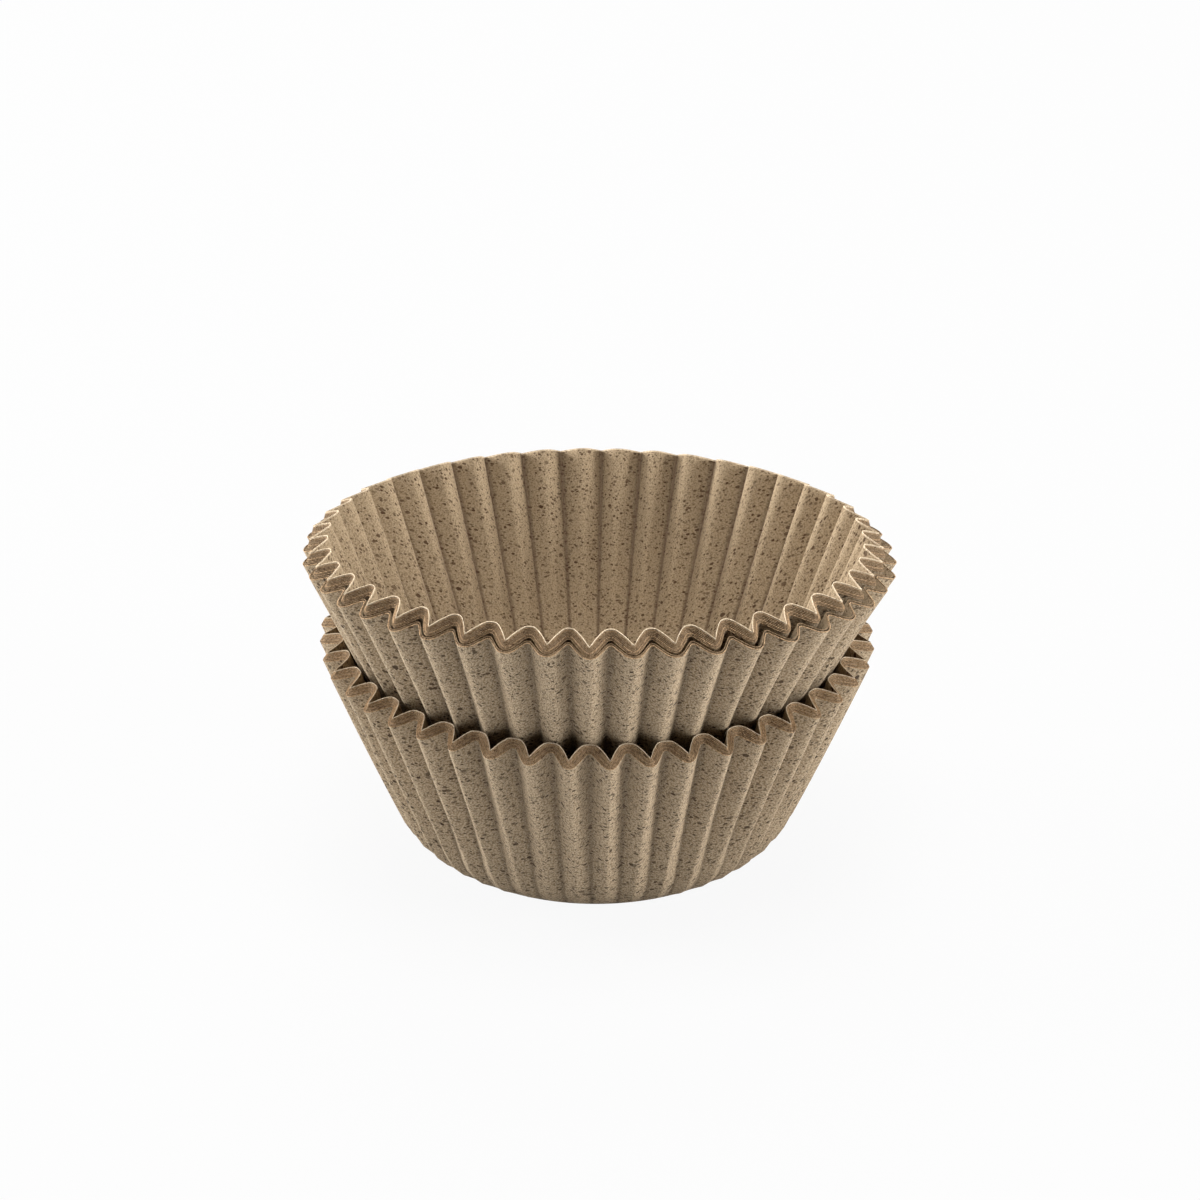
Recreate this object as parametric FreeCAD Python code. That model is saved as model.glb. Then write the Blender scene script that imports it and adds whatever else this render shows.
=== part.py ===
import FreeCAD, Part
import math
import os

# A stack of pleated paper cupcake liners in two nested bundles. The wider, upper bundle sits
# a little askew in the mouth of the lower one. Millimetres, +Z up, the lowest base centred on
# the origin, the viewer on the -Y side. Azimuths start at -Y and grow towards +X.

os.makedirs("parts", exist_ok=True)

# The sheet and its folds, the same for every liner
pleat_count = 44
paper_thickness = 0.065
nesting_gap = 0.04
flat_radius = 17.6
corner_run = 6.2
corner_rise = 4.0
wall_length = 24.8

# An inner liner's cut edge stands further up the wall, by this much of its depth in the bundle
edge_lead = 1.1

# The lower bundle: how far its outward and inward folds lean from upright, and its turn
lower_count = 7
lower_ridge_lean = 23.9
lower_valley_lean = 18.6
lower_turn = -1.35

# The upper bundle has opened wider. It is pushed towards the viewer, with its front rim riding up
# and its right side a touch low.
upper_count = 10
upper_ridge_lean = 28.0
upper_valley_lean = 22.5
upper_turn = 2.9
upper_tilt = -6.7
upper_roll = 0.5
upper_sideways = -0.3
upper_forward = 3.6

# The upper bundle's outer liners have sprung away from the rest at the rim, most on the right
loosened_count = 2
loosened_right = 0.45
loosened_left = 0.15

# Space left where the upper bundle rests in the mouth of the lower one
seat_clearance = 0.05

layer_pitch = paper_thickness + nesting_gap
pleat_step = 2 * math.pi / pleat_count

# How finely the resting height is searched
edge_samples = 24
seat_tolerance = 0.005
near_zero = 1e-9


def from_axis(radius, azimuth, height):
    return FreeCAD.Vector(radius * math.sin(azimuth), -radius * math.cos(azimuth), height)


class Face:
    """One side of a sheet, set in from the outermost side of its bundle."""

    def __init__(self, ridge_lean, valley_lean, turn, depth, own_depth, sprung):
        corner = math.atan2(corner_rise, corner_run)
        lean = math.radians((ridge_lean + valley_lean) / 2)
        wall = math.pi / 2 - lean
        self.turn = math.radians(turn)
        self.lean = lean
        self.sprung = sprung
        # The flat and the curled corner, set in square to themselves
        inset = depth + own_depth
        self.floor = inset
        self.flat = flat_radius - inset * math.tan(corner / 2)
        mitre = inset / math.cos((wall - corner) / 2)
        middle = (wall + corner) / 2
        self.ring_radius = flat_radius + corner_run - mitre * math.sin(middle)
        self.ring_height = corner_rise + mitre * math.cos(middle)
        # The rim, whose slanted pleats need more room than a plain wall to nest
        ridge = math.radians(ridge_lean)
        valley = math.radians(valley_lean)
        self.ridge_radius = flat_radius + corner_run + wall_length * math.sin(ridge)
        self.ridge_height = corner_rise + wall_length * math.cos(ridge)
        self.valley_radius = flat_radius + corner_run + wall_length * math.sin(valley)
        self.valley_height = corner_rise + wall_length * math.cos(valley)
        half_pitch = (self.ridge_radius + self.valley_radius) / 2 * pleat_step / 2
        pleat_depth = math.hypot(self.ridge_radius - self.valley_radius,
                                 self.ridge_height - self.valley_height)
        spread = inset * math.hypot(half_pitch, pleat_depth) / half_pitch
        lead = depth * edge_lead
        inward = lead * math.sin(lean) - spread * math.cos(lean)
        upward = lead * math.cos(lean) + spread * math.sin(lean)
        self.ridge_radius += inward
        self.valley_radius += inward
        self.ridge_height += upward
        self.valley_height += upward

    def flat_point(self, index):
        return from_axis(self.flat, self.turn + index * pleat_step, self.floor)

    def ring_point(self, index):
        return from_axis(self.ring_radius, self.turn + index * pleat_step, self.ring_height)

    def rim_point(self, index, ridge):
        azimuth = self.turn + (index + 0.5 * ridge) * pleat_step
        radius = self.ridge_radius if ridge else self.valley_radius
        height = self.ridge_height if ridge else self.valley_height
        side = math.sin(azimuth)
        gap = self.sprung * side * abs(side) * (loosened_right if side > 0 else -loosened_left)
        return from_axis(radius + gap * math.cos(self.lean), azimuth, height - gap * math.sin(self.lean))

    def wall_triangles(self, index):
        left = self.ring_point(index)
        right = self.ring_point(index + 1)
        top = self.rim_point(index, True)
        return [(left, right, top),
                (left, top, self.rim_point(index, False)),
                (right, self.rim_point(index + 1, False), top)]


def liner_faces(ridge_lean, valley_lean, turn, layer, loosened):
    """The outer and the inner side of one liner, with layer 0 the outermost."""
    depth = layer * layer_pitch
    sprung = max(0, loosened - layer)
    outer = Face(ridge_lean, valley_lean, turn, depth, 0, sprung)
    inner = Face(ridge_lean, valley_lean, turn, depth, paper_thickness, sprung)
    return outer, inner


def facet(points):
    return Part.Face(Part.makePolygon(list(points) + [points[0]]))


def liner_solid(faces, place):
    """One folded sheet: both sides, joined by the cut edge along the rim."""
    outer, inner = faces
    facets = []
    for face in faces:
        facets.append(facet([place.multVec(face.flat_point(index)) for index in range(pleat_count)]))
        for index in range(pleat_count):
            corner = [face.flat_point(index), face.flat_point(index + 1),
                      face.ring_point(index + 1), face.ring_point(index)]
            facets.append(facet([place.multVec(point) for point in corner]))
            for triangle in face.wall_triangles(index):
                facets.append(facet([place.multVec(point) for point in triangle]))
    for index in range(pleat_count):
        for start, end in (((index, False), (index, True)), ((index, True), (index + 1, False))):
            low = outer.rim_point(*start)
            high = inner.rim_point(*end)
            for triangle in ((low, outer.rim_point(*end), high), (low, high, inner.rim_point(*start))):
                facets.append(facet([place.multVec(point) for point in triangle]))
    shell = Part.makeShell(facets)
    shell.sewShape()
    solid = Part.makeSolid(shell)
    if solid.Volume < 0:
        solid.reverse()
    return solid


def wall_radius(face, point):
    """How far out a liner's wall stands, at the azimuth and height of a point."""
    azimuth = math.atan2(point.x, -point.y)
    away = FreeCAD.Vector(math.sin(azimuth), -math.cos(azimuth), 0)
    start = FreeCAD.Vector(0, 0, point.z)
    found = 0
    for first, second, third in face.wall_triangles(math.floor((azimuth - face.turn) / pleat_step)):
        side = second - first
        other = third - first
        across = away.cross(other)
        scale = side.dot(across)
        if abs(scale) < near_zero:
            continue
        along_side = (start - first).dot(across) / scale
        turned = (start - first).cross(side)
        along_other = away.dot(turned) / scale
        if min(along_side, along_other, 1 - along_side - along_other) > -near_zero:
            found = max(found, other.dot(turned) / scale)
    return found


def upper_place(height):
    tilt = FreeCAD.Rotation(FreeCAD.Vector(1, 0, 0), upper_tilt)
    roll = FreeCAD.Rotation(FreeCAD.Vector(0, 1, 0), upper_roll)
    return FreeCAD.Placement(FreeCAD.Vector(upper_sideways, -upper_forward, height), roll.multiply(tilt))


def mouth_points(face):
    """Closely spaced points along a liner's rim."""
    points = []
    for index in range(pleat_count):
        stations = [face.rim_point(index, False), face.rim_point(index, True),
                    face.rim_point(index + 1, False)]
        for start, end in zip(stations, stations[1:]):
            for sample in range(edge_samples):
                points.append(start + (end - start) * (sample / edge_samples))
    return points


def seat_height(mouth, hull):
    """The lowest height at which the upper bundle's outside clears the lower bundle's mouth."""
    points = mouth_points(mouth)
    low = 0
    high = wall_length
    while high - low > seat_tolerance:
        height = (low + high) / 2
        inverse = upper_place(height).inverse()
        local = [inverse.multVec(point) for point in points]
        clear = min(math.hypot(point.x, point.y) - wall_radius(hull, point) for point in local)
        if clear > seat_clearance:
            high = height
        else:
            low = height
    return high


lower_liners = [liner_faces(lower_ridge_lean, lower_valley_lean, lower_turn, layer, 0)
                for layer in range(lower_count)]
upper_liners = [liner_faces(upper_ridge_lean, upper_valley_lean, upper_turn, layer, loosened_count)
                for layer in range(upper_count)]

upper_height = seat_height(lower_liners[-1][1], upper_liners[0][0])
print("upper bundle's base height", round(upper_height, 2))

for name, liners, place in (("lower_liner", lower_liners, FreeCAD.Placement()),
                            ("upper_liner", upper_liners, upper_place(upper_height))):
    for number, faces in enumerate(liners, start=1):
        solid = liner_solid(faces, place)
        solid.exportStep(f"parts/{name}_{number:02d}.step")
        print(name, number, "volume", round(solid.Volume, 1), "valid", solid.isValid())
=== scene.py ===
# %% [markdown]
# # A stack of pleated paper cupcake liners
# The real thing is a handful of thin paper cups, pressed from flat discs of unbleached fibre
# paper and nested in two bundles. The lower bundle stands on the table and the upper one leans
# in its mouth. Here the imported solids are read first, and every sheet is then modelled over its
# own solid, with rounded folds, layered cut edges and a speckled paper finish.

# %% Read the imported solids
import math
import random
import bmesh
import bpy
from mathutils import Matrix, Vector


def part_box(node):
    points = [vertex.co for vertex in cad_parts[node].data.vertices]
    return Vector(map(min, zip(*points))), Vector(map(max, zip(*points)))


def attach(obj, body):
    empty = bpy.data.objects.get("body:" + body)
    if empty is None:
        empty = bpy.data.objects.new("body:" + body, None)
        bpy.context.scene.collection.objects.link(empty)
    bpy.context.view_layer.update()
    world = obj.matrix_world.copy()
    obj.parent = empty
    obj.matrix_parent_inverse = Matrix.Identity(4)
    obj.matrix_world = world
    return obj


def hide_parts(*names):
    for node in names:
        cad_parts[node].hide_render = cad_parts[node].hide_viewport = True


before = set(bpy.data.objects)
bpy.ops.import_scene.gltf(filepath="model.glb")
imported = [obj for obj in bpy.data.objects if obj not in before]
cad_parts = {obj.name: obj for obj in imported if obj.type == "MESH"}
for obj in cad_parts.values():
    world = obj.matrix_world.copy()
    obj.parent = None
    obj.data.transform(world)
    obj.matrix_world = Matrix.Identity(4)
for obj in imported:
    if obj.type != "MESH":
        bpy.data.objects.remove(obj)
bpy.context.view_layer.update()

MM = 0.001
lower_nodes = sorted(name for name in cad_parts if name.startswith("lower_liner"))
upper_nodes = sorted(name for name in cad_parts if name.startswith("upper_liner"))
print("lower liners", len(lower_nodes), "upper liners", len(upper_nodes))

# %% [markdown]
# ## The sizes of one sheet
# Every cup is the same disc of paper. Its flat base curls up through a rounded corner into a
# slanted wall with 44 folds. The sizes below are the ones that the solids were built from, so
# the finished sheets lie on them. The corner is a true arc here, tangent to the base and wall.

# %% Name the sizes, in millimetres
PLEATS = 44
PAPER = 0.065
LAYER = 0.105
FOOT_RADIUS = 23.8
FOOT_HEIGHT = 4.0
WALL = 24.8
CORNER_ROUND = 8.6
EDGE_LEAD = 1.1
PLEAT_STEP = 2 * math.pi / PLEATS
print("pleat pitch at the foot", round(FOOT_RADIUS * PLEAT_STEP, 2), "mm")

# %% [markdown]
# ## How each bundle sits
# A bundle is opened by leaning its outward folds more than its inward ones. The upper bundle is
# wider, tipped so that its front rim rides up, and pushed towards the viewer. Its height isn't
# typed in: it comes from the lowest point of its outermost solid, so that the finished sheets
# follow the solids wherever the upper bundle came to rest.

# %% Place the two bundles
UPPER_TILT = math.radians(-6.7)
UPPER_ROLL = math.radians(0.5)
UPPER_SIDEWAYS = -0.3
UPPER_FORWARD = 3.6
SOLID_FLAT = 17.6
lean_round = Matrix.Rotation(UPPER_ROLL, 4, "Y") @ Matrix.Rotation(UPPER_TILT, 4, "X")
rim_of_base = [lean_round @ Vector((SOLID_FLAT * math.sin(k * PLEAT_STEP),
                                    -SOLID_FLAT * math.cos(k * PLEAT_STEP), 0))
               for k in range(PLEATS)]
upper_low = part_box(upper_nodes[0])[0].z / MM
upper_height = upper_low - min(point.z for point in rim_of_base)
UPPER_PLACE = Matrix.Translation((UPPER_SIDEWAYS, -UPPER_FORWARD, upper_height)) @ lean_round
LOWER_PLACE = Matrix.Identity(4)
print("upper base height", round(upper_height, 2), "mm")

# %% [markdown]
# ## The line from the middle of the base to the rim
# Cut a cup in half and the paper makes one line: flat, arc, slant. A point on that line is
# given by its distance along the paper, and the function returns where it is and which way is
# out of the sheet. Inner sheets follow the same line, set in by their depth in the bundle, and
# run on past it at the rim, which is what gives a nested bundle its stepped edge.

# %% Follow the paper from the base to the rim
def corner_of(lean):
    """The corner's turn and tangent, and how far from the middle it starts."""
    turn = math.pi / 2 - lean
    tangent = CORNER_ROUND * math.tan(turn / 2)
    return turn, tangent, FOOT_RADIUS - FOOT_HEIGHT * math.tan(lean) - tangent


def paper_line(lean, along, inset):
    """Radius, height and the outward direction, at a distance along the outermost sheet."""
    turn, tangent, flat = corner_of(lean)
    if along < flat:
        return along, inset, (0.0, -1.0)
    angle = min((along - flat) / CORNER_ROUND, turn)
    out = (math.sin(angle), -math.cos(angle))
    arc = CORNER_ROUND - inset
    radius = flat + arc * math.sin(angle)
    height = CORNER_ROUND - arc * math.cos(angle)
    rest = max(0.0, along - flat - CORNER_ROUND * turn)
    return radius + rest * math.sin(lean), height + rest * math.cos(lean), out


def paper_length(lean, half_opening):
    """Where the corner starts, and how long the line is up to the rim of the outermost sheet."""
    turn, tangent, flat = corner_of(lean)
    beyond = WALL * math.cos(half_opening) + FOOT_HEIGHT / math.cos(lean) - tangent
    return flat, flat + CORNER_ROUND * turn + beyond


for degrees in (21.25, 25.25):
    start, length = paper_length(math.radians(degrees), 0.05)
    print("lean", degrees, "corner starts at", round(start, 1), "and the rim is at", round(length, 1))

# %% [markdown]
# ## The shape of one pleat
# A pressed pleat is a zigzag, but no fold in a bundle is perfectly sharp. On the side where the
# paper is squeezed the fold is tight, and on the other side every layer adds its own thickness
# to the bend. So a fold that points in grows rounder towards the inside of the bundle, and one
# that points out grows rounder towards the outside. A round fold cuts the tip off its zigzag,
# which is why the zigzag below is deeper than the facets of the solid.

# %% Round the folds
FOLDS_FILL = 0.97
TINY = 1e-6


def pleat_height(across, half_pitch, depth, inward, outward):
    """How far a pleat stands out, at a distance across it from its inward fold."""
    slope = math.atan2(depth, half_pitch)
    lift = 1 / math.cos(slope)
    room = half_pitch / max(TINY, (inward + outward) * math.sin(slope))
    inward *= min(1.0, FOLDS_FILL * room)
    outward *= min(1.0, FOLDS_FILL * room)
    if across < inward * math.sin(slope):
        return inward * lift - math.sqrt(inward ** 2 - across ** 2)
    left = half_pitch - across
    if left < outward * math.sin(slope):
        return depth - outward * lift + math.sqrt(outward ** 2 - left ** 2)
    return depth * across / half_pitch


heights = [pleat_height(0.25 * step, 2.3, 1.95, 0.9, 0.5) for step in range(10)]
print("a pleat at the rim", [round(value, 2) for value in heights])

# %% [markdown]
# ## What makes a bundle look handled
# Machine-pressed folds are even, yet each one is a hair wider or deeper than the next, and a
# loose stack goes slightly out of round. These small errors belong to the bundle, not to the
# sheet, because nested sheets are pressed together and share them. They fade towards the base,
# where the folds are pressed tighter too. The flanks of a pleat bow in, more on the inner sheets.

# %% Describe a bundle
BASE_TIGHTNESS = 0.3
FOLD_DRIFT = 0.035
FOLD_PUSH = 0.07
OVAL = 0.16
THREE_SIDED = 0.09
MOST_TURN = 6.28


class Bundle:
    """The folds that all the sheets of one bundle share."""

    def __init__(self, title, nodes, place, leans, turn, depth, inward, outward,
                 bow, looseness, loosened, seed):
        chance = random.Random(seed)
        self.title = title
        self.nodes = nodes
        self.place = place
        ridge_lean, valley_lean = leans
        self.lean = math.radians((ridge_lean + valley_lean) / 2)
        half_opening = math.radians((ridge_lean - valley_lean) / 2)
        self.flat, self.length = paper_length(self.lean, half_opening)
        self.turn = math.radians(turn)
        self.depth = depth
        self.inward = inward
        self.outward = outward
        self.bow = bow
        self.looseness = looseness
        self.loosened = loosened
        self.thickness = LAYER * len(nodes)
        self.drift = [chance.gauss(0, FOLD_DRIFT) for fold in range(2 * PLEATS)]
        self.push = [chance.gauss(0, FOLD_PUSH) for fold in range(2 * PLEATS)]
        self.oval = (chance.uniform(0, MOST_TURN), chance.uniform(0, MOST_TURN))

    def fold_rounds(self, inset, rise):
        """The radii of the folds that point in and out, at a depth and a height."""
        share = inset / self.thickness
        tightness = BASE_TIGHTNESS + (1 - BASE_TIGHTNESS) * rise
        return tuple(tightness * (outside + (inside - outside) * share)
                     for outside, inside in (self.inward, self.outward))

    def flank_bow(self, inset, near):
        """How far the flank of a pleat bows in, between its two folds."""
        outside, inside = self.bow
        most = outside + (inside - outside) * inset / self.thickness
        return most * math.sin(math.pi * near ** 2)

    @staticmethod
    def fold_error(values, fold, share):
        """An error that runs evenly from one fold to the next."""
        start = values[fold % (2 * PLEATS)]
        end = values[(fold + 1) % (2 * PLEATS)]
        return start + (end - start) * share


LOWER = Bundle("lower", lower_nodes, LOWER_PLACE, (23.9, 18.6), -1.35, 3.8,
               inward=(0.5, 1.35), outward=(1.0, 0.08), bow=(0.05, 0.4),
               looseness=1.2, loosened=0, seed=3)
UPPER = Bundle("upper", upper_nodes, UPPER_PLACE, (28.0, 22.5), 2.9, 3.6,
               inward=(0.3, 1.1), outward=(1.3, 0.08), bow=(0.0, 0.32),
               looseness=1.02, loosened=2, seed=8)
print("bundle thickness", round(LOWER.thickness, 2), round(UPPER.thickness, 2), "mm")

# %% [markdown]
# ## Where a point of a sheet goes
# The paper line gives the middle of the wall, and the pleat is added square to it. Its depth
# grows steadily from the middle of the corner up to the rim, which is how a flat disc takes up
# its spare width. The two outer sheets of the upper bundle have sprung out near the rim, most
# on the right, so their gap opens with the distance up the wall.

# %% Work out one point
PLEAT_START = 4.5
LOOSENED_RIGHT = 1.2
LOOSENED_LEFT = 0.25
LOOSENED_ROUND = 0.14
LOOSENED_FOLD = 0.38
LOOSENED_LEAD = 0.12
LOOSENED_SINE = 0.7
LOOSENED_EASE = 1.5
HANGS_TOGETHER = 0.86
SPRING_BEND = 2.5


def loosened_gap(bundle, layer, azimuth, rise, near):
    """How far a loosened sheet stands off from the rest."""
    if layer >= bundle.loosened:
        return 0.0
    side = math.sin(azimuth)
    most = LOOSENED_RIGHT if side > 0 else LOOSENED_LEFT
    gap = LOOSENED_ROUND + LOOSENED_FOLD * (1 - near) ** 2
    gap += most * min(1.0, abs(side) / LOOSENED_SINE) ** LOOSENED_EASE
    return gap * HANGS_TOGETHER ** layer * rise ** SPRING_BEND


def sheet_point(bundle, layer, own, along, fold, share):
    """A point of a sheet: fold counts half pleats, share is how far it is into one."""
    inset = layer * LAYER + own
    start = bundle.flat + PLEAT_START
    rise = max(0.0, (along - start) / (bundle.length - start))
    radius, height, out = paper_line(bundle.lean, along, inset)
    depth = bundle.depth * rise
    half_pitch = max(radius, 1e-3) * PLEAT_STEP / 2
    near = share if fold % 2 == 0 else 1 - share
    inward, outward = bundle.fold_rounds(inset, rise)
    stand = pleat_height(near * half_pitch, half_pitch, depth, inward, outward)
    stand -= bundle.flank_bow(inset, near) * rise
    spread = inset * (bundle.looseness * math.hypot(half_pitch, depth) / half_pitch - 1)
    azimuth = bundle.turn + (fold + share) * PLEAT_STEP / 2
    azimuth += bundle.fold_error(bundle.drift, fold, share) * PLEAT_STEP / 2 * rise
    push = stand - depth / 2 - spread
    push += bundle.fold_error(bundle.push, fold, share) * rise
    push += OVAL * rise * math.cos(2 * azimuth + bundle.oval[0])
    push += THREE_SIDED * rise * math.cos(3 * azimuth + bundle.oval[1])
    push += loosened_gap(bundle, layer, azimuth, rise, near)
    radius += push * out[0]
    height += push * out[1]
    return Vector((radius * math.sin(azimuth), -radius * math.cos(azimuth), height))


print("a rim point", [round(value, 2) for value in sheet_point(LOWER, 0, 0.0, LOWER.length, 1, 0.0)])

# %% [markdown]
# ## From a circle to a folded sheet
# The mesh of a sheet starts as a filled circle, the middle of the base. Its border is extruded
# ring by ring along the paper line, over the cut edge, and back down the inside to the middle,
# where the last ring is merged to a point. Each ring remembers which fold a corner belongs to,
# because an extruded corner inherits that number, so no list of faces is ever written out.

# %% Choose where the rings and the corners of a pleat go
ACROSS = (0.0, 0.08, 0.17, 0.28, 0.42, 0.58, 0.75, 0.9)
STATIONS = [(0, share) for share in ACROSS] + [(1, 0.0)]
STATIONS += [(1, 1 - share) for share in reversed(ACROSS[1:])]
CORNER_RINGS = (0.0, 0.2, 0.4, 0.6, 0.8, 1.0)
WALL_RINGS = (0.1, 0.22, 0.35, 0.48, 0.6, 0.71, 0.81, 0.89, 0.95)
FLAT_RING = 0.55
EDGE_STRIP = 0.09
PAINTED_HIGHLIGHT_STRIP = 0.17
print("corners round a ring", PLEATS * len(STATIONS))


def ring_distances(bundle, layer):
    """Distances along the paper at which a sheet gets a ring, up to its cut edge."""
    corner = CORNER_ROUND * (math.pi / 2 - bundle.lean)
    rim = bundle.length + EDGE_LEAD * layer * LAYER
    strip = EDGE_STRIP
    if layer < bundle.loosened:
        rim += LOOSENED_LEAD
    # The innermost upper sheet gets a wider edge strip, which carries the painted highlight.
    if bundle is UPPER and layer == len(bundle.nodes) - 1:
        strip = PAINTED_HIGHLIGHT_STRIP
        rim += strip - EDGE_STRIP
    rings = [bundle.flat * FLAT_RING]
    rings += [bundle.flat + corner * part for part in CORNER_RINGS]
    foot = bundle.flat + corner
    rings += [foot + (rim - foot) * part for part in WALL_RINGS]
    return rings + [rim - strip, rim]


print("rings up one side", len(ring_distances(LOWER, 0)))

# %% [markdown]
# ## Two attributes for the paper
# The speckles in real paper lie in the flat sheet, and folding carries them along. So every
# corner stores where it was on the flat disc, and the material reads that instead of the place
# in space. A second value runs from 0 on the inward folds to 1 on the outward ones, and the
# materials read it to paint shade into the bottom of a fold, on the outside as on the inside.

# %% Place one ring of corners
OUTSIDE, INSIDE, EDGE = range(3)
SHEET_SHIFT = (13.7, 29.3)
UPPER_SHIFT = Vector((211.0, 57.0, 0.0))
NO_FOLD = 0.5


def disc_shift(bundle, layer):
    """Each sheet is cut from another place of the paper, so no two carry the same specks."""
    shift = Vector((SHEET_SHIFT[0] * layer, SHEET_SHIFT[1] * layer, 0.0))
    return shift + UPPER_SHIFT if bundle is UPPER else shift


def set_ring(bundle, layer, layers, verts, along, own):
    """Put a ring's corners on the sheet, and store their place on the disc and on the fold."""
    corner, flat_place, fold_shade = layers
    shift = disc_shift(bundle, layer)
    for vert in verts:
        index = vert[corner]
        half, share = STATIONS[index % len(STATIONS)]
        fold = 2 * (index // len(STATIONS)) + half
        azimuth = (fold + share) * PLEAT_STEP / 2
        vert.co = bundle.place @ sheet_point(bundle, layer, own, along, fold, share)
        on_disc = Vector((along * math.sin(azimuth), -along * math.cos(azimuth), own))
        vert[flat_place] = shift + on_disc
        # How far a corner stands from the inward fold; the materials paint shade into the fold
        # bottoms from it.
        standing = share if half == 0 else 1 - share
        vert[fold_shade] = standing if along > bundle.flat else NO_FOLD


def of_kind(items, kind):
    return [item for item in items if isinstance(item, kind)]


print("corner layers: corner, sheet_place, fold_shade")

# %% [markdown]
# The first ring is the filled circle itself, numbered round from the viewer's side. The cut edge
# and a narrow strip on either side of it have the edge's material, and its borders stay sharp.

# %% Build one sheet
def build_sheet(bundle, layer, materials):
    bm = bmesh.new()
    corner = bm.verts.layers.int.new("corner")
    flat_place = bm.verts.layers.float_vector.new("sheet_place")
    fold_shade = bm.verts.layers.float.new("fold_shade")
    layers = (corner, flat_place, fold_shade)
    bmesh.ops.create_circle(bm, cap_ends=True, cap_tris=True,
                            segments=PLEATS * len(STATIONS), radius=1.0)
    border = [edge for edge in bm.edges if edge.is_boundary]
    ring = [vert for vert in bm.verts if vert.is_boundary]
    middle = next(vert for vert in bm.verts if not vert.is_boundary)
    by_angle = sorted(ring, key=lambda vert: math.atan2(vert.co.x, -vert.co.y) % (2 * math.pi))
    for index, vert in enumerate(by_angle):
        vert[corner] = index
    shift = disc_shift(bundle, layer)
    middle.co = bundle.place @ Vector((0, 0, layer * LAYER))
    middle[flat_place] = shift
    distances = ring_distances(bundle, layer)
    set_ring(bundle, layer, layers, ring, distances[0], 0.0)
    steps = [(along, 0.0) for along in distances[1:]]
    steps += [(along, PAPER) for along in reversed(distances)]
    cut = len(distances) - 1
    for number, (along, own) in enumerate(steps):
        grown = bmesh.ops.extrude_edge_only(bm, edges=border)["geom"]
        old_border = border
        border = [edge for edge in of_kind(grown, bmesh.types.BMEdge) if edge.is_boundary]
        set_ring(bundle, layer, layers, of_kind(grown, bmesh.types.BMVert), along, own)
        slot = INSIDE if own else OUTSIDE
        if abs(number - cut) <= 1:
            slot = EDGE
        for face in of_kind(grown, bmesh.types.BMFace):
            face.material_index = slot
        if number == cut:
            for edge in old_border + border:
                edge.smooth = False
    last = bmesh.ops.extrude_edge_only(bm, edges=border)["geom"]
    for face in of_kind(last, bmesh.types.BMFace):
        face.material_index = INSIDE
    ring = of_kind(last, bmesh.types.BMVert)
    for vert in ring:
        vert[flat_place] = shift + Vector((0, 0, PAPER))
    centre = bundle.place @ Vector((0, 0, layer * LAYER + PAPER))
    bmesh.ops.pointmerge(bm, verts=ring, merge_co=centre)
    return finish_sheet(bm, f"{bundle.title}_sheet_{layer + 1:02d}", materials)


def finish_sheet(bm, name, materials):
    """Turn the faces outwards, go over to metres, and make the object."""
    bmesh.ops.recalc_face_normals(bm, faces=bm.faces)
    if bm.calc_volume(signed=True) < 0:
        bmesh.ops.reverse_faces(bm, faces=bm.faces)
    for face in bm.faces:
        face.smooth = True
    bmesh.ops.scale(bm, vec=(MM, MM, MM), verts=bm.verts)
    mesh = bpy.data.meshes.new(name)
    bm.to_mesh(mesh)
    bm.free()
    for material in materials:
        mesh.materials.append(material)
    sheet = bpy.data.objects.new(name, mesh)
    bpy.context.scene.collection.objects.link(sheet)
    return sheet


print("steps over the edge and back", 2 * len(ring_distances(LOWER, 0)) - 1)

# %% [markdown]
# ## Speckled paper
# Unbleached fibre paper is a pale ground full of dark bits: fine pepper, larger husks, and
# short bent fibres. Each is a cell pattern cut off close to the cell's middle, with a chance per
# cell of being left out. The group returns the colour mask and the height, so that every paper
# material can use it with its own tones.

# %% Start a node group with named sockets
def new_group(name, inputs, outputs):
    group = bpy.data.node_groups.new(name, "ShaderNodeTree")
    for label, kind, value in inputs:
        socket = group.interface.new_socket(name=label, in_out="INPUT", socket_type=kind)
        if value is not None:
            socket.default_value = value
    for label, kind in outputs:
        group.interface.new_socket(name=label, in_out="OUTPUT", socket_type=kind)
    start = group.nodes.new("NodeGroupInput")
    end = group.nodes.new("NodeGroupOutput")
    return group, start, end


def add(tree, kind, **settings):
    """A new node with its own settings."""
    node = tree.nodes.new(kind)
    for key, value in settings.items():
        setattr(node, key, value)
    return node


def blend_maths(tree, operation, first, second, clamp=False):
    """A maths node's result, from numbers or from other nodes."""
    node = add(tree, "ShaderNodeMath", operation=operation, use_clamp=clamp)
    for socket, value in zip(node.inputs, (first, second)):
        if isinstance(value, (int, float)):
            socket.default_value = value
        else:
            tree.links.new(value, socket)
    return node.outputs[0]


def ramp(tree, value, low, high):
    """0 below low and 1 above high, with a smooth step between."""
    node = add(tree, "ShaderNodeMapRange", interpolation_type="SMOOTHSTEP")
    tree.links.new(value, node.inputs["Value"])
    node.inputs["From Min"].default_value = low
    node.inputs["From Max"].default_value = high
    return node.outputs["Result"]


def noise(tree, place, scale, detail, roughness=0.5):
    node = add(tree, "ShaderNodeTexNoise", noise_dimensions="2D")
    node.inputs["Scale"].default_value = scale
    node.inputs["Detail"].default_value = detail
    node.inputs["Roughness"].default_value = roughness
    tree.links.new(place, node.inputs["Vector"])
    return node


print("node helpers ready")

# %% [markdown]
# A speck layer stretches and turns the paper's own coordinates before the cells are cut, which
# makes round bits, or fibres that run mostly one way. The threshold of each cell comes from its
# random colour, so sizes vary and some cells stay empty.

# %% Make one layer of specks
SPECK_BORDER = (-0.01, 0.045)
PALEST_SPECK = 0.55


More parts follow.
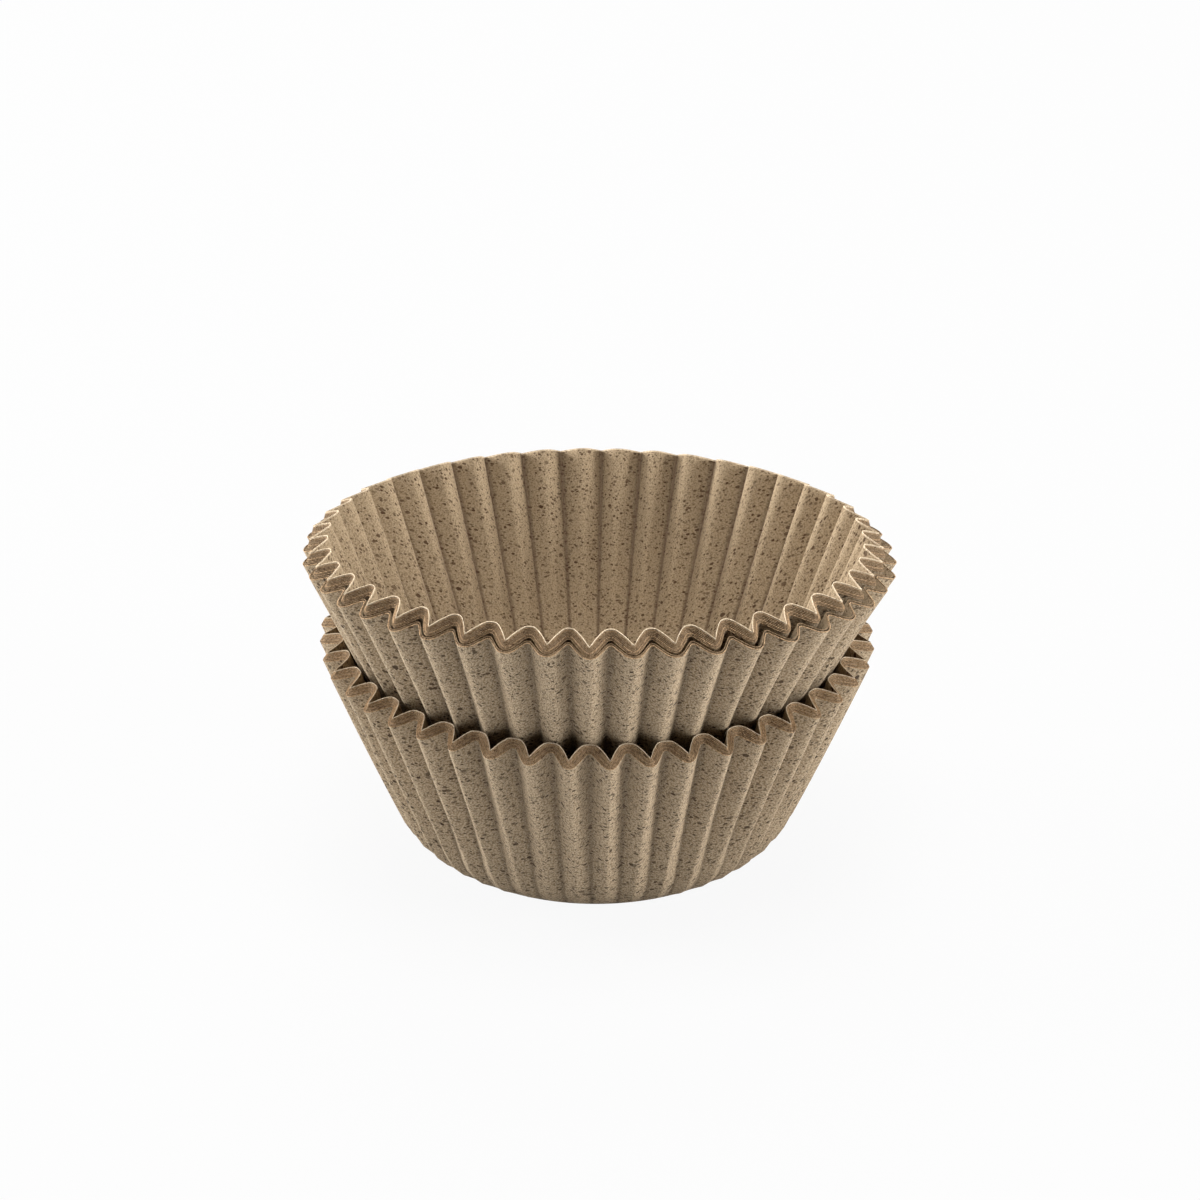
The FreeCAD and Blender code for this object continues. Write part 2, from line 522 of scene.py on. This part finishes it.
def speck_layer(tree, place, cells_per_mm, stretch, turn, size, empty, darkness):
    mapping = add(tree, "ShaderNodeMapping")
    mapping.inputs["Rotation"].default_value = (0, 0, turn)
    mapping.inputs["Scale"].default_value = (cells_per_mm * stretch, cells_per_mm / stretch, 1.0)
    tree.links.new(place, mapping.inputs["Vector"])
    cells = add(tree, "ShaderNodeTexVoronoi", voronoi_dimensions="2D", feature="F1")
    cells.inputs["Scale"].default_value = 1.0
    tree.links.new(mapping.outputs[0], cells.inputs["Vector"])
    parts = add(tree, "ShaderNodeSeparateColor")
    tree.links.new(cells.outputs["Color"], parts.inputs[0])
    kept = blend_maths(tree, "SUBTRACT", parts.outputs[0], empty)
    reach = blend_maths(tree, "MULTIPLY", kept, size / (1 - empty))
    inside = blend_maths(tree, "SUBTRACT", reach, cells.outputs["Distance"])
    mask = ramp(tree, inside, *SPECK_BORDER)
    strength = blend_maths(tree, "MULTIPLY_ADD", parts.outputs[1], 1 - PALEST_SPECK)
    strength.node.inputs[2].default_value = PALEST_SPECK
    return blend_maths(tree, "MULTIPLY", blend_maths(tree, "MULTIPLY", mask, strength), darkness)


print("faintest speck", PALEST_SPECK)

# %% [markdown]
# Four layers make the paper: rare husks, two sizes of bits and a fine pepper. Noise bends them a
# little, so that no bit is a true ellipse, and a slower noise mottles the ground under them.

# %% Build the speckle group
WARP = 0.16
SPECK_DIP = -0.35
speckle, start, end = new_group(
    "paper speckle",
    [("Place", "NodeSocketVector", None), ("Fineness", "NodeSocketFloat", 1.0),
     ("Amount", "NodeSocketFloat", 1.0)],
    [("Specks", "NodeSocketFloat"), ("Mottle", "NodeSocketFloat"), ("Height", "NodeSocketFloat")])
sized = add(speckle, "ShaderNodeVectorMath", operation="SCALE")
speckle.links.new(start.outputs["Place"], sized.inputs[0])
speckle.links.new(start.outputs["Fineness"], sized.inputs["Scale"])
warp = noise(speckle, sized.outputs[0], 2.2, 3.0)
centred = add(speckle, "ShaderNodeVectorMath", operation="MULTIPLY_ADD")
centred.inputs[1].default_value = (WARP, WARP, 0.0)
speckle.links.new(warp.outputs["Color"], centred.inputs[0])
speckle.links.new(sized.outputs[0], centred.inputs[2])
bent = centred.outputs[0]
layers = [speck_layer(speckle, bent, 0.66, 0.78, 0.5, 0.22, 0.74, 1.0),
          speck_layer(speckle, bent, 1.35, 0.74, 2.1, 0.32, 0.52, 1.0),
          speck_layer(speckle, bent, 2.2, 0.72, -0.6, 0.40, 0.52, 1.0),
          speck_layer(speckle, bent, 4.0, 0.84, 1.2, 0.50, 0.30, 0.5)]
specks = layers[0]
for layer_mask in layers[1:]:
    specks = blend_maths(speckle, "MAXIMUM", specks, layer_mask)
specks = blend_maths(speckle, "MULTIPLY", specks, start.outputs["Amount"], clamp=True)
mottle = noise(speckle, start.outputs["Place"], 4.2, 4.0, roughness=0.65)
tooth = noise(speckle, bent, 5.5, 3.0)
height = blend_maths(speckle, "MULTIPLY_ADD", specks, SPECK_DIP)
speckle.links.new(tooth.outputs["Fac"], height.node.inputs[2])
speckle.links.new(specks, end.inputs["Specks"])
speckle.links.new(mottle.outputs["Fac"], end.inputs["Mottle"])
speckle.links.new(height, end.inputs["Height"])
print("speckle group nodes", len(speckle.nodes))

# %% [markdown]
# ## The paper materials
# The same paper shows three ways: the outside, the browner inside, and the cut edge, where a
# blade has bared the darker heart of the sheet. Cut edges differ a little from sheet to sheet,
# which draws the fine lines along a nested rim. The innermost sheet's edge is painted paler, a
# painted highlight for the light that shines through the single sheet at the rim. All are matt,
# with the paper's tooth as a fine bump.

# %% Mix a paper material
SHEEN = 0.25
MOTTLE_SPREAD = (0.38, 0.62)
BUMP = 0.5


def mix_colour(tree, factor, first, second):
    node = add(tree, "ShaderNodeMix", data_type="RGBA")
    tree.links.new(factor, node.inputs[0])
    for socket, value in ((node.inputs[6], first), (node.inputs[7], second)):
        if isinstance(value, tuple):
            socket.default_value = value
        else:
            tree.links.new(value, socket)
    return node.outputs[2]


def paper_material(name, light, dark, speck, amount, fineness, roughness, tooth_height, crease_shade=None):
    material = bpy.data.materials.new(name)
    material.use_nodes = True
    tree = material.node_tree
    shader = tree.nodes["Principled BSDF"]
    shader.inputs["Roughness"].default_value = roughness
    shader.inputs["Specular IOR Level"].default_value = SHEEN
    place = add(tree, "ShaderNodeAttribute", attribute_name="sheet_place")
    fold_shade_read = add(tree, "ShaderNodeAttribute", attribute_name="fold_shade")
    group = add(tree, "ShaderNodeGroup", node_tree=speckle)
    group.inputs["Amount"].default_value = amount
    group.inputs["Fineness"].default_value = fineness
    tree.links.new(place.outputs["Vector"], group.inputs["Place"])
    ground = mix_colour(tree, ramp(tree, group.outputs["Mottle"], *MOTTLE_SPREAD), dark, light)
    colour = mix_colour(tree, group.outputs["Specks"], ground, speck)
    # Painted shade: the bottom of a fold is darkened towards the speck colour.
    if crease_shade is not None:
        low, high, strength = crease_shade
        painted_crease_shade = blend_maths(tree, "MULTIPLY", ramp(tree, fold_shade_read.outputs["Fac"], low, high), strength)
        colour = mix_colour(tree, painted_crease_shade, colour, speck)
    tree.links.new(colour, shader.inputs["Base Color"])
    bump = add(tree, "ShaderNodeBump")
    bump.inputs["Strength"].default_value = BUMP
    bump.inputs["Distance"].default_value = tooth_height
    tree.links.new(group.outputs["Height"], bump.inputs["Height"])
    tree.links.new(bump.outputs["Normal"], shader.inputs["Normal"])
    return material


# Outside, painted shade darkens the inward folds; inside, it darkens the outward folds.
OUTER_FACE = paper_material(
    "unbleached paper outside", light=(0.39, 0.31, 0.213, 1), dark=(0.215, 0.153, 0.089, 1),
    speck=(0.035, 0.02, 0.011, 1), amount=0.95, fineness=1.0, roughness=0.86,
    tooth_height=0.06 * MM, crease_shade=(0.3, 0.0, 0.4))
INNER_FACE = paper_material(
    "unbleached paper inside", light=(0.37, 0.283, 0.182, 1), dark=(0.255, 0.185, 0.108, 1),
    speck=(0.055, 0.025, 0.011, 1), amount=0.95, fineness=1.0, roughness=0.86,
    tooth_height=0.05 * MM, crease_shade=(0.80, 1.0, 0.7))
# Painted highlight: a pale cream edge stands in for the light that shines through the thin paper at
# the rim.
PAINTED_HIGHLIGHT_EDGE = paper_material(
    "inner edge painted highlight", light=(0.64, 0.53, 0.38, 1), dark=(0.44, 0.34, 0.23, 1),
    speck=(0.20, 0.13, 0.08, 1), amount=0.5, fineness=1.3, roughness=0.95,
    tooth_height=0.04 * MM)
CUT_EDGES = [paper_material(
    f"cut paper edge {tone}", light=(0.33 * tone, 0.222 * tone, 0.127 * tone, 1),
    dark=(0.205 * tone, 0.13 * tone, 0.066 * tone, 1),
    speck=(0.06, 0.03, 0.016, 1), amount=0.8, fineness=1.3, roughness=0.95,
    tooth_height=0.04 * MM) for tone in (0.72, 1.0, 1.3)]
print("paper materials", 3 + len(CUT_EDGES))

# %% [markdown]
# ## Nest the sheets
# Each sheet replaces its own solid and rides on the one body that the stack has.

# %% Build both bundles
sheets = []
shuffle = random.Random(5)
for bundle in (LOWER, UPPER):
    for layer, node in enumerate(bundle.nodes):
        edge = shuffle.choice(CUT_EDGES)
        # The innermost sheet's edge carries the painted highlight.
        if layer == len(bundle.nodes) - 1:
            edge = PAINTED_HIGHLIGHT_EDGE
        sheet = build_sheet(bundle, layer, (OUTER_FACE, INNER_FACE, edge))
        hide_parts(node)
        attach(sheet, "root")
        sheets.append(sheet)
print("sheets", len(sheets), "faces in one", len(sheets[0].data.polygons))

# %% [markdown]
# ## Floor, light and camera
# A plain pale floor, which the camera sees as an even white. To the stack it is a pale grey, and
# gives back only that much light from below.

# %% Lay the floor
def floor_material(grey, white, shown):
    """Looks an even white to the camera, and gives back only a pale grey's light to the stack."""
    material = bpy.data.materials.new("pale floor")
    material.use_nodes = True
    tree = material.node_tree
    shader = tree.nodes["Principled BSDF"]
    shader.inputs["Base Color"].default_value = (grey, grey, grey, 1)
    shader.inputs["Roughness"].default_value = 0.9
    shader.inputs["Specular IOR Level"].default_value = 0.1
    glow = add(tree, "ShaderNodeEmission")
    glow.inputs["Strength"].default_value = white
    seen = add(tree, "ShaderNodeLightPath")
    part = blend_maths(tree, "MULTIPLY", seen.outputs["Is Camera Ray"], shown)
    both = add(tree, "ShaderNodeMixShader")
    tree.links.new(part, both.inputs[0])
    tree.links.new(shader.outputs[0], both.inputs[1])
    tree.links.new(glow.outputs[0], both.inputs[2])
    tree.links.new(both.outputs[0], tree.nodes["Material Output"].inputs["Surface"])
    return material


floor_bm = bmesh.new()
bmesh.ops.create_grid(floor_bm, x_segments=1, y_segments=1, size=3.0)
floor_mesh = bpy.data.meshes.new("studio_floor")
floor_bm.to_mesh(floor_mesh)
floor_bm.free()
floor_mesh.materials.append(floor_material(grey=0.75, white=0.96, shown=0.97))
floor = bpy.data.objects.new("studio_floor", floor_mesh)
bpy.context.scene.collection.objects.link(floor)
print("floor laid")

# %% [markdown]
# Large soft lights, as in a product photograph. Most of the light comes from the two sides, so
# that every fold has a bright flank and a dark one, and a box overhead lights the inside. Nearly
# nothing comes from the front, which keeps the gap between the bundles dark.

# %% Light the stack
LAMP_AIM = Vector((0, 0, 0.02))
world = bpy.data.worlds.new("studio world")
bpy.context.scene.world = world
world.use_nodes = True
world.node_tree.nodes["Background"].inputs["Color"].default_value = (1, 1, 1, 1)
world.node_tree.nodes["Background"].inputs["Strength"].default_value = 0.01


def softbox(name, place, size, power):
    lamp = bpy.data.lights.new(name, "AREA")
    lamp.shape = "DISK"
    lamp.size = size
    lamp.energy = power
    holder = bpy.data.objects.new(name, lamp)
    holder.location = place
    holder.rotation_euler = (LAMP_AIM - Vector(place)).to_track_quat("-Z", "Y").to_euler()
    bpy.context.scene.collection.objects.link(holder)


softbox("right softbox", (0.85, -0.20, 0.20), size=0.45, power=9.4)
softbox("left front softbox", (-0.85, -0.22, 0.30), size=0.5, power=2.6)
softbox("left back softbox", (-0.82, 0.28, 0.20), size=0.4, power=12.0)
softbox("top softbox", (0.0, -0.05, 0.90), size=0.5, power=10.6)
softbox("back softbox", (0.0, 0.60, 0.60), size=0.5, power=5.0)
bpy.context.scene.view_settings.view_transform = "Standard"

# %% [markdown]
# The camera looks down at 27 degrees through a long lens, 700 mm from the stack. The lens comes
# from the photo's scale, in pixels to the millimetre across a frame 1200 pixels wide.

# %% Set the camera
PHOTO_WIDTH = 1200
PIXELS_PER_MM = 8.257
DISTANCE = 700.0
ELEVATION = math.radians(27)
AIM = Vector((0.49, 0.0, 31.68))
lens = bpy.data.cameras.new("product camera")
lens.sensor_width = 36.0
lens.lens = lens.sensor_width * PIXELS_PER_MM * DISTANCE / PHOTO_WIDTH
lens.clip_start = 0.05
lens.clip_end = 20.0
camera = bpy.data.objects.new("product camera", lens)
camera.location = (AIM + DISTANCE * Vector((0, -math.cos(ELEVATION), math.sin(ELEVATION)))) * MM
camera.rotation_euler = (math.pi / 2 - ELEVATION, 0, 0)
bpy.context.scene.collection.objects.link(camera)
bpy.context.scene.camera = camera
print("lens", round(lens.lens, 1), "mm")
